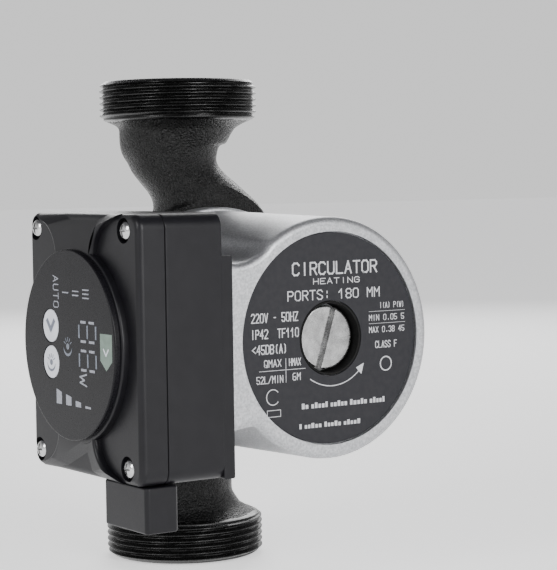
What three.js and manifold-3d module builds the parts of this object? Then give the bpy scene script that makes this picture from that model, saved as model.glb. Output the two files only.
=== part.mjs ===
// A wet-rotor circulator pump for heating water, in millimetres, +Z up.
// The origin is the centre of the lower port's sealing face. Both ports lie on the Z axis, the motor
// axis is horizontal and points towards -Y, and the electronics box hangs on the motor's -X side.
// Inside the group, every piece is placed from the head's centre, where the two axes cross.
import * as THREE from "three";
import { mergeVertices } from "three/addons/utils/BufferGeometryUtils.js";
import Module from "manifold-3d";

const wasm = await Module();
wasm.setup();

// ---- Driving dimensions ----
const PORT_TO_PORT = 180;
const MOTOR_HEIGHT = 88;
const GAP = 0.3; // left between neighbours that touch
const THREAD_CREST = 29.8; // G2 pipe thread
const THREAD_ROOT = 28.3;
const THREAD_PITCH = 2.309;
const THREAD_TURNS = 6;
const PORT_BORE = 17;
const NECK_OUTER = 18;
const NECK_BORE = 13;
const CASING_RADIUS = 44;
const CASING_BACK = 27;
const CHAMBER_RADIUS = 37;
const CHAMBER_FRONT = -20;
const CHAMBER_BACK = -4;
const EYE_RADIUS = 12;
const BARREL_RADIUS = 43;
const BARREL_FRONT = -99;
const FLANGE_FRONT = -28;
const FLANGE_BACK = -20.6;
const STATOR_OUTER = 33;
const STATOR_INNER = 20.5;
const CAN_RADIUS = 20;
const LABEL_RADIUS = 36.2;
const LABEL_FACE = -98.2;
const LABEL_THICKNESS = 0.8;
const VENT_RECESS = 12.8;
const VENT_THREAD = 9.1;
const VENT_SCREW = 11;
const VENT_FACE = -95.2;
const VENT_LEDGE = -90;
const SCREW_CIRCLE = 47.5;
const BOX_OUTER = -76;
const BOX_PARTING = -66.8;
const BOX_INNER = -45;
const BOX_FRONT = -100.5;
const BOX_REAR = -25.2;
const BOX_HALF_HEIGHT = 44;
const BOX_CORNER = 5;
const BOX_WALL = 2.4;
const LENS_FACE = -81.2;
const LENS_RADIUS = 32;
const LENS_Y = -60.7;
const LENS_THICKNESS = 3;
const KEY_RADIUS = 5.6;
const KEY_Y = -48.3;
const KEY_HEIGHTS = [5.9, -6.4];
const KEY_TRAVEL = 0.6;
const COVER_SCREW_YS = [-91.2, -29.8];
const COVER_SCREW_HEIGHT = 38.6;
const COVER_SCREW_HEAD = 3.3;

// ---- Materials ----
const finish = (color, roughness, metalness = 0) =>
  new THREE.MeshStandardMaterial({ color, roughness, metalness });
const finishes = {
  casting: () => finish(0x17171a, 0.55, 0.3),
  dieCast: () => finish(0xb9bbc0, 0.4, 0.8),
  steel: () => finish(0xc8c9cc, 0.25, 1),
  stainless: () => finish(0xaaacb0, 0.3, 1),
  magnet: () => finish(0x3a3a3d, 0.5, 0.6),
  lamination: () => finish(0x6d6f73, 0.5, 0.8),
  copper: () => finish(0xb5622f, 0.35, 0.9),
  brass: () => finish(0xc4a052, 0.3, 0.9),
  ceramic: () => finish(0xe8e4da, 0.25),
  rubber: () => finish(0x111112, 0.9),
  label: () => finish(0x3a3a3e, 0.6),
  plastic: () => finish(0x2b2a2f, 0.45),
  impellerPlastic: () => finish(0x20334a, 0.5),
  lens: () => finish(0x1b1b1e, 0.3),
  key: () => finish(0xe8e9ec, 0.4),
  board: () => finish(0x1e5b34, 0.6),
  display: () => finish(0x26282c, 0.4),
  pad: () => finish(0x9fb3bd, 0.9),
};

// ---- Solids ----
// A closed three.js geometry as a solid whose faces point out.
function solid(geometry) {
  const bare = geometry.clone();
  bare.deleteAttribute("normal");
  bare.deleteAttribute("uv");
  const merged = mergeVertices(bare, 1e-4);
  const triVerts = new Uint32Array(merged.index.array);
  const vertProperties = new Float32Array(merged.attributes.position.array);
  const made = new wasm.Manifold(new wasm.Mesh({ numProp: 3, vertProperties, triVerts }));
  if (made.volume() > 0) return made;
  triVerts.reverse();
  return new wasm.Manifold(new wasm.Mesh({ numProp: 3, vertProperties, triVerts }));
}

function geometryOf(made) {
  const mesh = made.getMesh();
  const geometry = new THREE.BufferGeometry();
  geometry.setAttribute("position", new THREE.BufferAttribute(mesh.vertProperties, 3));
  geometry.setIndex(new THREE.BufferAttribute(mesh.triVerts, 1));
  const flat = geometry.toNonIndexed();
  flat.computeVertexNormals();
  return flat;
}

const join = (first, ...others) => others.reduce((whole, other) => whole.add(other), first);
const cut = (first, ...others) => others.reduce((whole, other) => whole.subtract(other), first);

const X = new THREE.Vector3(1, 0, 0);
const Y = new THREE.Vector3(0, 1, 0);
const Z = new THREE.Vector3(0, 0, 1);
// Turns for a shape whose depth, or a lathe whose axis, runs along the named world direction.
const DEPTH_ALONG_X = new THREE.Matrix4().makeBasis(Y, Z, X);
const DEPTH_ALONG_Y = new THREE.Matrix4().makeBasis(X, Z, Y.clone().negate());
const AXIS_ALONG_Z = new THREE.Matrix4().makeRotationX(Math.PI / 2);
const AXIS_ALONG_MINUS_X = new THREE.Matrix4().makeRotationZ(Math.PI / 2);

// A solid of revolution about Y from [radius, y] pairs. The profile closes on the axis or on itself.
function turned(profile, sides = 28) {
  const onAxis = profile[0][0] === 0;
  const points = (onAxis ? profile : [...profile, profile[0]]).map(([r, y]) => new THREE.Vector2(r, y));
  return new THREE.LatheGeometry(points, sides);
}
const ring = (inner, outer, from, to, sides) =>
  turned([[inner, from], [outer, from], [outer, to], [inner, to]], sides);
const disc = (radius, from, to, sides) =>
  turned([[0, from], [radius, from], [radius, to], [0, to]], sides);

function block([x0, x1], [y0, y1], [z0, z1]) {
  const box = new THREE.BoxGeometry(x1 - x0, y1 - y0, z1 - z0);
  return box.translate((x0 + x1) / 2, (y0 + y1) / 2, (z0 + z1) / 2);
}

// A plate with rounded corners: across and up are [from, to] ranges of its outline.
function plateShape([a0, a1], [b0, b1], radius) {
  const shape = new THREE.Shape();
  shape.absarc(a1 - radius, b1 - radius, radius, 0, Math.PI / 2);
  shape.absarc(a0 + radius, b1 - radius, radius, Math.PI / 2, Math.PI);
  shape.absarc(a0 + radius, b0 + radius, radius, Math.PI, 1.5 * Math.PI);
  shape.absarc(a1 - radius, b0 + radius, radius, 1.5 * Math.PI, 2 * Math.PI);
  return shape;
}
const extruded = (shape, depth, curveSegments = 2) =>
  new THREE.ExtrudeGeometry(shape, { depth, bevelEnabled: false, curveSegments });
// The outline lies in Y and Z, and the plate runs from x0 to x1.
const plateX = ([x0, x1], ys, zs, radius) =>
  extruded(plateShape(ys, zs, radius), x1 - x0).applyMatrix4(DEPTH_ALONG_X).translate(x0, 0, 0);
// The outline lies in X and Z, and the plate runs from y0 to y1.
const outlineY = (shape, [y0, y1], curveSegments) =>
  extruded(shape, y1 - y0, curveSegments).applyMatrix4(DEPTH_ALONG_Y).translate(0, y1, 0);

// A round pipe along a smooth curve through [x, y, z, radius] stations.
function pipe(stations, steps = 8, sides = 14) {
  const spine = new THREE.CatmullRomCurve3(stations.map(([x, y, z]) => new THREE.Vector3(x, y, z)));
  const radii = new THREE.SplineCurve(stations.map((s, i) => new THREE.Vector2(i, s[3])));
  const positions = [];
  const faces = [];
  for (let step = 0; step <= steps; step++) {
    const t = step / steps;
    const centre = spine.getPoint(t);
    const along = spine.getTangent(t);
    const side = new THREE.Vector3().crossVectors(Y, along).normalize();
    const other = new THREE.Vector3().crossVectors(along, side);
    const radius = radii.getPoint(t).y;
    for (let k = 0; k < sides; k++) {
      const turn = (2 * Math.PI * k) / sides;
      const point = centre.clone();
      point.addScaledVector(side, radius * Math.cos(turn));
      point.addScaledVector(other, radius * Math.sin(turn));
      positions.push(...point.toArray());
    }
  }
  const at = (step, k) => step * sides + (k % sides);
  for (let step = 0; step < steps; step++)
    for (let k = 0; k < sides; k++)
      faces.push(
        at(step, k), at(step, k + 1), at(step + 1, k + 1),
        at(step, k), at(step + 1, k + 1), at(step + 1, k),
      );
  for (let k = 1; k < sides - 1; k++) {
    faces.push(at(0, 0), at(0, k + 1), at(0, k));
    faces.push(at(steps, 0), at(steps, k), at(steps, k + 1));
  }
  const geometry = new THREE.BufferGeometry();
  geometry.setAttribute("position", new THREE.Float32BufferAttribute(positions, 3));
  geometry.setIndex(faces);
  return geometry;
}

// ---- The assembly ----
const pump = new THREE.Group();
const head = new THREE.Group();
head.position.z = MOTOR_HEIGHT;
pump.add(head);

function piece(name, made, material) {
  const mesh = new THREE.Mesh(geometryOf(made), material());
  mesh.name = name;
  head.add(mesh);
}

// ---- Pump body ----
const LOWER_FACE = -MOTOR_HEIGHT;
const UPPER_FACE = PORT_TO_PORT - MOTOR_HEIGHT;
const COLLAR_LENGTH = 21;
const upperNeck = (radius) => [
  [0, 0, 80, radius],
  [-2.4, 1.8, 72, radius],
  [-2.6, 2.2, 65.5, radius],
  [0.2, 1.5, 58, radius - 0.8],
  [5.6, -2.8, 50, radius],
  [9.6, -6, 42, radius],
  [10, -10, 30, radius],
];
const lowerNeck = (radius) => [
  [0, 0, -80, radius],
  [0, 0, -68, radius],
  [0, 1.5, -55, radius],
  [0, 11, -38, radius - 3],
  [0, 11.5, -18, radius - 3],
  [0, 12, 0, radius - 4],
];

// A threaded end whose sealing face is at height 0 and which runs upwards.
function threadedCollar() {
  const thread = [];
  for (let turn = 0; turn < THREAD_TURNS; turn++) {
    const start = 0.6 + turn * THREAD_PITCH;
    thread.push([THREAD_ROOT, start], [THREAD_CREST, start + THREAD_PITCH / 2]);
  }
  const threadEnd = 0.6 + THREAD_TURNS * THREAD_PITCH;
  const profile = [
    [0, 0],
    [THREAD_ROOT, 0],
    ...thread,
    [THREAD_ROOT, threadEnd],
    [NECK_OUTER + 5.5, threadEnd + 1],
    [NECK_OUTER + 1.5, threadEnd + 4],
    [NECK_OUTER, COLLAR_LENGTH],
    [0, COLLAR_LENGTH],
  ];
  return solid(turned(profile, 20).applyMatrix4(AXIS_ALONG_Z));
}

function pumpBody() {
  const casing = turned([
    [0, FLANGE_BACK + GAP],
    [CASING_RADIUS + 2, FLANGE_BACK + GAP],
    [CASING_RADIUS + 2, -13],
    [CASING_RADIUS, -11],
    [CASING_RADIUS - 1, -2],
    [CASING_RADIUS - 8, 8],
    [24, CASING_BACK - 2],
    [20, CASING_BACK],
    [0, CASING_BACK],
  ]);
  const outside = join(
    threadedCollar().translate([0, 0, LOWER_FACE]),
    threadedCollar().mirror([0, 0, 1]).translate([0, 0, UPPER_FACE]),
    solid(casing),
    solid(pipe(upperNeck(NECK_OUTER))),
    solid(pipe(lowerNeck(NECK_OUTER))),
    ...lugs(7, FLANGE_BACK + GAP, -11),
  );
  const bore = solid(disc(PORT_BORE, 0, COLLAR_LENGTH - 9, 20).applyMatrix4(AXIS_ALONG_Z));
  const throat = solid(disc(NECK_BORE, UPPER_FACE - 18, UPPER_FACE - 10, 20).applyMatrix4(AXIS_ALONG_Z));
  const chamber = turned([
    [0, FLANGE_BACK - 5],
    [CHAMBER_RADIUS + 1.5, FLANGE_BACK - 5],
    [CHAMBER_RADIUS + 1.5, CHAMBER_FRONT + 4],
    [CHAMBER_RADIUS, CHAMBER_FRONT + 4],
    [CHAMBER_RADIUS, CHAMBER_BACK - 2],
    [CHAMBER_RADIUS - 2, CHAMBER_BACK],
    [0, CHAMBER_BACK],
  ]);
  const waterway = join(
    bore.translate([0, 0, LOWER_FACE - 1]),
    bore.translate([0, 0, UPPER_FACE - COLLAR_LENGTH + 10]),
    throat,
    solid(chamber),
    solid(pipe(upperNeck(NECK_BORE))),
    solid(pipe(lowerNeck(NECK_BORE))),
    solid(disc(EYE_RADIUS + 2, CHAMBER_BACK - 2, 10, 20)),
    ...screwHoles(3.2, FLANGE_BACK - 1, -14),
  );
  const motorSide = solid(block([-70, 70], [-80, FLANGE_BACK + GAP], [-60, 60]));
  return cut(outside, waterway, motorSide);
}

// ---- The four motor screws ----
const screwAngles = [40, 140, 220, 320].map(THREE.MathUtils.degToRad);
const onScrewCircle = (made) =>
  screwAngles.map((a) => made.translate([SCREW_CIRCLE * Math.cos(a), 0, SCREW_CIRCLE * Math.sin(a)]));
const lugs = (radius, from, to) => onScrewCircle(solid(disc(radius, from, to, 12)));
const screwHoles = (radius, from, to) => onScrewCircle(solid(disc(radius, from, to, 8)));

function housingScrew() {
  const HEAD = 4.2;
  const SHANK = 2.8;
  const head = FLANGE_FRONT - GAP;
  const screw = solid(
    turned([[0, -14.5], [SHANK, -14.5], [SHANK, head], [HEAD, head], [HEAD, head - 5], [0, head - 5]], 10),
  );
  const socket = solid(disc(2.4, head - 6, head - 2.5, 6));
  return cut(screw, socket);
}

// ---- Wet rotor ----
const SHAFT_RADIUS = 3;
const IMPELLER_RADIUS = 31;
const VANES = 6;
const VANE_HEIGHT = 6;
const IMPELLER_BACK_PLATE = [-16.5, -15];

function vane(index) {
  const start = 8;
  const bend = 1.1;
  const outline = new THREE.Shape();
  const steps = 3;
  const spiral = (t, thickness) => {
    const radius = start + (IMPELLER_RADIUS - 1 - start) * t;
    const angle = bend * t * t + thickness / radius;
    return new THREE.Vector2(radius * Math.cos(angle), radius * Math.sin(angle));
  };
  const along = Array.from({ length: steps + 1 }, (_, i) => i / steps);
  outline.setFromPoints([...along.map((t) => spiral(t, 0)), ...along.reverse().map((t) => spiral(t, 1.6))]);
  const tall = [IMPELLER_BACK_PLATE[1] - 0.2, IMPELLER_BACK_PLATE[1] + VANE_HEIGHT];
  return solid(outlineY(outline, tall).rotateY((2 * Math.PI * index) / VANES));
}

function impeller() {
  const vanes = Array.from({ length: VANES }, (_, index) => vane(index));
  const plate = solid(disc(IMPELLER_RADIUS, ...IMPELLER_BACK_PLATE, 24));
  const hub = solid(disc(8.5, IMPELLER_BACK_PLATE[0] - 1, IMPELLER_BACK_PLATE[1] + VANE_HEIGHT - 1, 12));
  return cut(join(plate, hub, ...vanes), solid(disc(SHAFT_RADIUS + 0.15, -30, 0, 12)));
}

const impellerShroud = () =>
  solid(
    turned([
      [EYE_RADIUS - 1.7, -8.7],
      [IMPELLER_RADIUS, -8.7],
      [IMPELLER_RADIUS, -7.4],
      [EYE_RADIUS + 1, -7.4],
      [EYE_RADIUS, -5],
      [EYE_RADIUS, -1],
      [EYE_RADIUS - 1.7, -1],
    ], 24),
  );

const rotorShaft = () => solid(disc(SHAFT_RADIUS, -83.4, -11, 12));
const rotorCore = () => solid(ring(SHAFT_RADIUS + 0.15, 17, -72, -34, 20));
const thrustRing = () => solid(ring(SHAFT_RADIUS + 0.15, 6.5, -33.6, -30.6, 12));

// ---- Bearings, can and plate ----
const neckRing = () =>
  solid(turned([[EYE_RADIUS + 0.5, -3.4], [EYE_RADIUS + 1.7, -3.4], [EYE_RADIUS + 1.7, 3], [EYE_RADIUS + 0.5, 3]], 24));
const bearingPlate = () =>
  solid(
    turned([
      [8, -20.2],
      [15, -20.2],
      [18.6, -18.4],
      [CHAMBER_RADIUS - 0.4, -18.4],
      [CHAMBER_RADIUS - 0.4, -19.4],
      [19.4, -19.4],
      [15.4, -21.2],
      [8, -21.2],
    ], 20),
  );
const frontBearing = () => solid(ring(SHAFT_RADIUS + 0.25, 7.5, -29.8, -20.4, 12));
const rearBearing = () => solid(ring(SHAFT_RADIUS + 0.25, 7.5, -83.2, -74.5, 12));
const rotorCan = () =>
  solid(
    turned([
      [0, -84.6],
      [CAN_RADIUS - 1, -84.6],
      [CAN_RADIUS - 1, -20.5],
      [CHAMBER_RADIUS - 2, -20.5],
      [CHAMBER_RADIUS - 2, -20],
      [CHAMBER_RADIUS + 0.9, -20],
      [CHAMBER_RADIUS + 0.9, -21.5],
      [CAN_RADIUS, -21.5],
      [CAN_RADIUS, -85.6],
      [0, -85.6],
    ], 20),
  );
const casingSeal = () =>
  solid(turned(circleProfile(CHAMBER_RADIUS + 0.4, -17, 0.7, 5), 24));

// A ring's round section, for seals.
function circleProfile(radius, y, half, points) {
  return Array.from({ length: points }, (_, i) => {
    const turn = (2 * Math.PI * i) / points;
    return [radius + half * Math.cos(turn), y + half * Math.sin(turn)];
  });
}

// ---- Motor ----
const STATOR_ENDS = [-74, -38];
function statorCore() {
  const slots = [];
  const slot = solid(block([STATOR_INNER - 1, 27.5], [-80, -30], [-2.2, 2.2]));
  for (let i = 0; i < 12; i++) slots.push(slot.rotate([0, 30 * i + 15, 0]));
  return cut(solid(ring(STATOR_INNER, STATOR_OUTER, ...STATOR_ENDS, 24)), ...slots);
}
const winding = (from, to) =>
  solid(
    turned([
      [STATOR_INNER + 1.5, from],
      [29, from],
      [30, from + (to - from) * 0.5],
      [28.5, to],
      [STATOR_INNER + 2.5, to],
    ], 20),
  );

// The barrel's outline with the web that reaches to the electronics box, seen from the front.
const WEB_EDGE = BOX_INNER + 0.5;
function webShape() {
  const shape = new THREE.Shape();
  shape.moveTo(WEB_EDGE, 32);
  shape.quadraticCurveTo(WEB_EDGE + 1.5, 24, -34.5, 24);
  shape.lineTo(0, 24);
  shape.lineTo(0, -28.4);
  shape.lineTo(-36, -28.4);
  shape.quadraticCurveTo(WEB_EDGE + 1, -28.4, WEB_EDGE, -34);
  shape.closePath();
  return shape;
}

function motorHousing() {
  const barrel = turned([
    [0, FLANGE_BACK],
    [BARREL_RADIUS + 1.3, FLANGE_BACK],
    [BARREL_RADIUS + 1.3, FLANGE_FRONT],
    [BARREL_RADIUS, FLANGE_FRONT],
    [BARREL_RADIUS, -90],
    [BARREL_RADIUS - 0.6, BARREL_FRONT + 2.2],
    [BARREL_RADIUS - 2.4, BARREL_FRONT],
    [LABEL_RADIUS + 0.4, BARREL_FRONT],
    [LABEL_RADIUS + 0.4, LABEL_FACE + LABEL_THICKNESS + GAP],
    [0, LABEL_FACE + LABEL_THICKNESS + GAP],
  ], 32);
  const cavity = turned([
    [0, -10],
    [CHAMBER_RADIUS + 1.3, -10],
    [CHAMBER_RADIUS + 1.3, -22],
    [STATOR_OUTER + GAP, -22],
    [STATOR_OUTER + GAP, -83.4],
    [29, -86.2],
    [0, -86.2],
  ], 24);
  const POCKET_RADIUS = 10;
  const POCKET_X = -34;
  const POCKET_Z = 34.2;
  const pocket = join(
    solid(disc(POCKET_RADIUS, BARREL_FRONT - 5, FLANGE_FRONT - 4, 20)),
    solid(block([-8, POCKET_RADIUS], [BARREL_FRONT - 5, FLANGE_FRONT - 4], [0, 30])),
  ).translate([POCKET_X, 0, POCKET_Z]);
  const cable = block([BOX_INNER - 5, -30], [-66, -46], [-10, 10]);
  return cut(
    join(
      solid(barrel),
      solid(outlineY(webShape(), [BARREL_FRONT, FLANGE_FRONT + 1], 6)),
      ...lugs(7, FLANGE_FRONT, FLANGE_BACK),
    ),
    pocket,
    solid(cavity),
    solid(cable),
    solid(disc(VENT_RECESS, -110, VENT_LEDGE, 20)),
    solid(disc(VENT_THREAD, -110, -80, 20)),
    solid(disc(LABEL_RADIUS + 0.4, -110, LABEL_FACE + LABEL_THICKNESS + GAP, 32)),
    ...screwHoles(3.2, FLANGE_FRONT - 1, FLANGE_BACK + 1),
    ...screwHoles(4.8, FLANGE_FRONT - 20, FLANGE_FRONT),
  );
}

const nameplate = () =>
  solid(ring(VENT_RECESS + 0.1, LABEL_RADIUS, LABEL_FACE, LABEL_FACE + LABEL_THICKNESS, 32));

function ventScrew() {
  const body = turned([
    [0, VENT_FACE],
    [VENT_SCREW - 0.8, VENT_FACE],
    [VENT_SCREW, VENT_FACE + 0.8],
    [VENT_SCREW, VENT_LEDGE - 1.4],
    [VENT_THREAD - GAP, VENT_LEDGE - 1.4],
    [VENT_THREAD - GAP, -86.8],
    [0, -86.8],
  ], 20);
  const slot = solid(block([-1.3, 1.3], [VENT_FACE - 1, VENT_FACE + 2], [-15, 15]));
  return cut(solid(body), slot.rotate([0, 18, 0]));
}
const ventSeal = () => solid(turned(circleProfile(VENT_SCREW - 1, VENT_LEDGE - 0.7, 0.45, 5), 20));

// ---- Electronics box ----
const BOX_YS = [BOX_FRONT, BOX_REAR];
const BOX_ZS = [-BOX_HALF_HEIGHT, BOX_HALF_HEIGHT];
const inset = ([from, to], by) => [from + by, to - by];

// Something at each of the four cover screws.
const atCoverScrews = (made) =>
  COVER_SCREW_YS.flatMap((y) => [COVER_SCREW_HEIGHT, -COVER_SCREW_HEIGHT].map((z) => made.translate([0, y, z])));
const postX = (radius, from, to, sides = 10) =>
  solid(disc(radius, -to, -from, sides).applyMatrix4(AXIS_ALONG_MINUS_X));

function boxBase() {
  const shell = solid(plateX([BOX_PARTING + GAP, BOX_INNER], BOX_YS, BOX_ZS, BOX_CORNER));
  const hollow = solid(
    plateX([BOX_PARTING - 5, BOX_INNER - BOX_WALL], inset(BOX_YS, BOX_WALL), inset(BOX_ZS, BOX_WALL), 3),
  );
  const posts = atCoverScrews(postX(4, BOX_PARTING + GAP, BOX_INNER - 1));
  const postHoles = atCoverScrews(postX(1.9, BOX_PARTING - 5, BOX_PARTING + 14, 8));
  const cable = solid(block([BOX_INNER - 5, -30], [-66, -46], [-10, 10]));
  const inletWindow = solid(block([-65.3, -62.5], [-93, -76], [-BOX_HALF_HEIGHT - 5, -BOX_HALF_HEIGHT + 5]));
  return cut(join(cut(shell, hollow), ...posts), ...postHoles, cable, inletWindow);
}

const boxGasket = () =>
  cut(
    solid(plateX([BOX_PARTING - 0.7, BOX_PARTING], inset(BOX_YS, 0.9), inset(BOX_ZS, 0.9), 4.2)),
    solid(plateX([BOX_PARTING - 2, BOX_PARTING + 2], inset(BOX_YS, 2.2), inset(BOX_ZS, 2.2), 3.2)),
  );

// The raised bands above and below the display, wider towards the box's edges.
function bandShape(side) {
  const shape = new THREE.Shape();
  const edge = side * (BOX_HALF_HEIGHT - 2.5);
  shape.moveTo(LENS_Y - 26, edge);
  shape.quadraticCurveTo(LENS_Y - 14, side * 38, LENS_Y - 12.5, side * 29);
  shape.lineTo(LENS_Y + 12.5, side * 29);
  shape.quadraticCurveTo(LENS_Y + 14, side * 38, LENS_Y + 24, edge);
  shape.closePath();
  return shape;
}

const COVER_PANEL = BOX_OUTER + 1.2;
const BAND_FACE = -77.6;
function boxCover() {
  const parting = BOX_PARTING - 1;
  const shell = solid(plateX([COVER_PANEL, parting], BOX_YS, BOX_ZS, BOX_CORNER));
  const bands = [1, -1].map((side) =>
    solid(extruded(bandShape(side), COVER_PANEL - BAND_FACE + 1).applyMatrix4(DEPTH_ALONG_X).translate(BAND_FACE, 0, 0)),
  );
  const seat = postX(LENS_RADIUS + 1, BAND_FACE, COVER_PANEL + 1, 32).translate([0, LENS_Y, 0]);
  const hollow = solid(
    plateX([COVER_PANEL + BOX_WALL, parting + 5], inset(BOX_YS, BOX_WALL), inset(BOX_ZS, BOX_WALL), 3),
  );
  const pillars = atCoverScrews(postX(5, COVER_PANEL, parting));
  const screwSeats = atCoverScrews(postX(COVER_SCREW_HEAD + 0.6, COVER_PANEL - 3, COVER_PANEL + 2.4));
  const screwBores = atCoverScrews(postX(2.2, COVER_PANEL - 3, parting + 3, 8));
  const window = solid(block([-90, -60], [-84, -56], [-14, 12]));
  const keyBores = KEY_HEIGHTS.map((z) => postX(KEY_RADIUS - 0.9, -90, -60, 14).translate([0, KEY_Y, z]));
  return cut(
    join(cut(join(shell, seat, ...bands), hollow), ...pillars),
    ...screwSeats, ...screwBores, window, ...keyBores,
  );
}

function coverScrew(y, z) {
  const headBase = COVER_PANEL + 2.4 - GAP;
  const CROWN = 2.2;
  const profile = [[COVER_SCREW_HEAD, -headBase]];
  for (const rise of [0.1, 0.8])
    profile.push([COVER_SCREW_HEAD * Math.cos(rise), -headBase + 0.6 + CROWN * Math.sin(rise)]);
  profile.push([0, -headBase + 0.6 + CROWN]);
  const tip = -(BOX_PARTING + 12);
  const screw = turned([[0, tip], [1.7, tip], [1.7, -headBase], ...profile], 10).applyMatrix4(AXIS_ALONG_MINUS_X);
  const crownFace = headBase - 0.6 - CROWN;
  const arm = (ys, zs) => solid(block([crownFace - 1, crownFace + 1.2], ys, zs));
  return cut(solid(screw), arm([-1.9, 1.9], [-0.4, 0.4]), arm([-0.4, 0.4], [-1.9, 1.9])).translate([0, y, z]);
}

const LENS_BACK = LENS_FACE + LENS_THICKNESS;
function displayLens() {
  const body = turned([
    [0, -LENS_BACK],
    [LENS_RADIUS, -LENS_BACK],
    [LENS_RADIUS, -LENS_FACE - 0.5],
    [LENS_RADIUS - 0.5, -LENS_FACE],
    [0, -LENS_FACE],
  ], 32).applyMatrix4(AXIS_ALONG_MINUS_X);
  const holes = KEY_HEIGHTS.map((z) => postX(KEY_RADIUS + 0.3, -90, -60, 16).translate([0, KEY_Y, z]));
  return cut(solid(body).translate([0, LENS_Y, 0]), ...holes);
}

const SWITCH_TOP = -71.4;
function keyCap(z) {
  const face = -LENS_FACE - 0.1;
  const cap = turned([
    [0, -SWITCH_TOP + KEY_TRAVEL + GAP],
    [KEY_RADIUS - 1.6, -SWITCH_TOP + KEY_TRAVEL + GAP],
    [KEY_RADIUS - 1.6, -LENS_BACK + 1.4],
    [KEY_RADIUS, -LENS_BACK + 1.4],
    [KEY_RADIUS, face - 0.4],
    [KEY_RADIUS - 0.4, face],
    [0, face],
  ], 16).applyMatrix4(AXIS_ALONG_MINUS_X);
  return solid(cap).translate([0, KEY_Y, z]);
}

// ---- Boards and what stands on them ----
const DISPLAY_BOARD = [-69, -67.6];
const MAIN_BOARD = [-53, -51.4];
const displayBoard = () => solid(plateX(DISPLAY_BOARD, [-86, -40], [-22, 22], 2));
const keySwitch = (z) => {
  const body = solid(plateX([SWITCH_TOP + 0.8, DISPLAY_BOARD[0] - GAP], [KEY_Y - 3, KEY_Y + 3], [-3, 3], 0.5));
  return join(body, postX(1.8, SWITCH_TOP, SWITCH_TOP + 1.2).translate([0, KEY_Y, 0])).translate([0, 0, z]);
};
const digitModule = (z) =>
  solid(plateX([-75.6, DISPLAY_BOARD[0] - GAP], [-82.5, -66.5], [z - 5, z + 5], 0.6));
const mainBoard = () => solid(plateX(MAIN_BOARD, [-96, -38], [-32, 33.5], 2));
const boardTop = MAIN_BOARD[0] - GAP;
const filterCapacitor = () =>
  solid(
    turned([[0, 0], [6, 0], [6.3, 0.8], [6.3, 18], [5.8, 20], [0, 20]], 16).applyMatrix4(AXIS_ALONG_Z),
  ).translate([boardTop - 6.6, -46, 14]);
const choke = () =>
  solid(ring(3, 7.5, 0, 8, 14).applyMatrix4(AXIS_ALONG_MINUS_X)).translate([boardTop, -86, 20]);
const powerModule = () => solid(plateX([boardTop - 4.2, boardTop], [-76, -54], [-30, -16], 0.8));
const motorPlug = () =>
  cut(
    solid(plateX([boardTop - 9, boardTop], [-90, -74], [-12, 2], 0.8)),
    ...[-8, -2].map((z) => solid(block([boardTop - 12, boardTop - 3], [-87.5, -76.5], [z - 1.6, z + 1.6]))),
  );
const heatPad = () => solid(plateX([MAIN_BOARD[1] + GAP, BOX_INNER - BOX_WALL - GAP], [-76, -66.6], [-28, -18], 1));

// ---- Mains inlet under the box ----
const INLET_YS = [-98.5, -70.5];
const INLET_XS = [-74, -61.8];
const INLET_BOTTOM = -BOX_HALF_HEIGHT - 15.5;
const INLET_TOP = -BOX_HALF_HEIGHT - GAP;
function inletShell() {
  const plan = plateShape(INLET_XS, INLET_YS, 2);
  const body = extruded(plan, INLET_TOP - INLET_BOTTOM).translate(0, 0, INLET_BOTTOM);
  const mouth = extruded(plateShape(inset(INLET_XS, 1.8), inset(INLET_YS, 2), 1), 12).translate(0, 0, INLET_BOTTOM - 1);
  const pinHoles = PIN_YS.map((y) => solid(block([-69.5, -65], [y - 1.2, y + 1.2], [INLET_BOTTOM, INLET_TOP + 2])));
  return cut(solid(body), solid(mouth), ...pinHoles);
}
const PIN_YS = [-91.5, -84.5, -77.5];
function contactPin(y) {
  const blade = block([-69.2, -65.3], [y - 0.9, y + 0.9], [INLET_BOTTOM + 2, INLET_TOP - 0.4]);
  return solid(blade);
}

// ---- All pieces ----
piece("pump_body", pumpBody(), finishes.casting);
piece("neck_ring", neckRing(), finishes.brass);
piece("casing_seal", casingSeal(), finishes.rubber);
piece("bearing_plate", bearingPlate(), finishes.stainless);
piece("rotor_can", rotorCan(), finishes.stainless);
piece("front_bearing", frontBearing(), finishes.ceramic);
piece("rear_bearing", rearBearing(), finishes.ceramic);

piece("rotor_shaft", rotorShaft(), finishes.ceramic);
piece("rotor_core", rotorCore(), finishes.magnet);
piece("thrust_ring", thrustRing(), finishes.ceramic);
piece("impeller", impeller(), finishes.impellerPlastic);
piece("impeller_shroud", impellerShroud(), finishes.impellerPlastic);

piece("stator_core", statorCore(), finishes.lamination);
piece("winding_rear", winding(STATOR_ENDS[1] + GAP, -28), finishes.copper);
piece("winding_front", winding(STATOR_ENDS[0] - GAP, -84), finishes.copper);
piece("motor_housing", motorHousing(), finishes.dieCast);
onScrewCircle(housingScrew()).forEach((screw, i) => piece(`housing_screw_${i + 1}`, screw, finishes.steel));
piece("nameplate", nameplate(), finishes.label);
piece("vent_screw", ventScrew(), finishes.steel);
piece("vent_seal", ventSeal(), finishes.rubber);

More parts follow.
